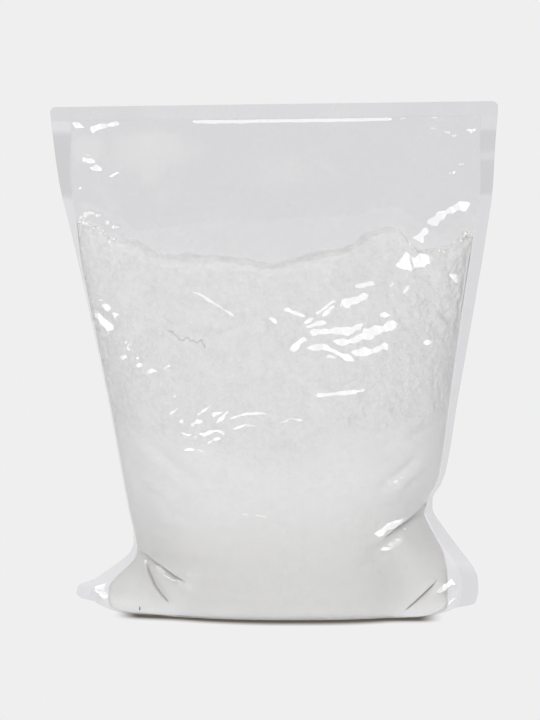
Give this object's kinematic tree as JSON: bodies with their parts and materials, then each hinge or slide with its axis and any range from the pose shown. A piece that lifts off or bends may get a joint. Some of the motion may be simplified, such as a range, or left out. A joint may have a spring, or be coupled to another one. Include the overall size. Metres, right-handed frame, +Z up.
{
  "type": "bag of powdered sugar",
  "caption": "Clear heat-sealed pouch of white powdered sugar standing on its flattened base, with seal margins, tucked sides and two bottom corner ears.",
  "frame": {"origin": "on the floor under the middle of the bag, which stands on its flattened base", "axes": "+Z up along the pouch's height, +X to the right seen from the front, and the front sheet faces -Y"},
  "size_m": [0.2197, 0.087, 0.2521],
  "materials": {
    "sugar_in_film": "white powder seen through clear glossy film",
    "clear_film": "clear glossy heat-sealed film",
    "powdered_sugar": null
  },
  "bodies": {
    "root": {"sugar_bag": "sugar_in_film"}
  },
  "joints": []
}
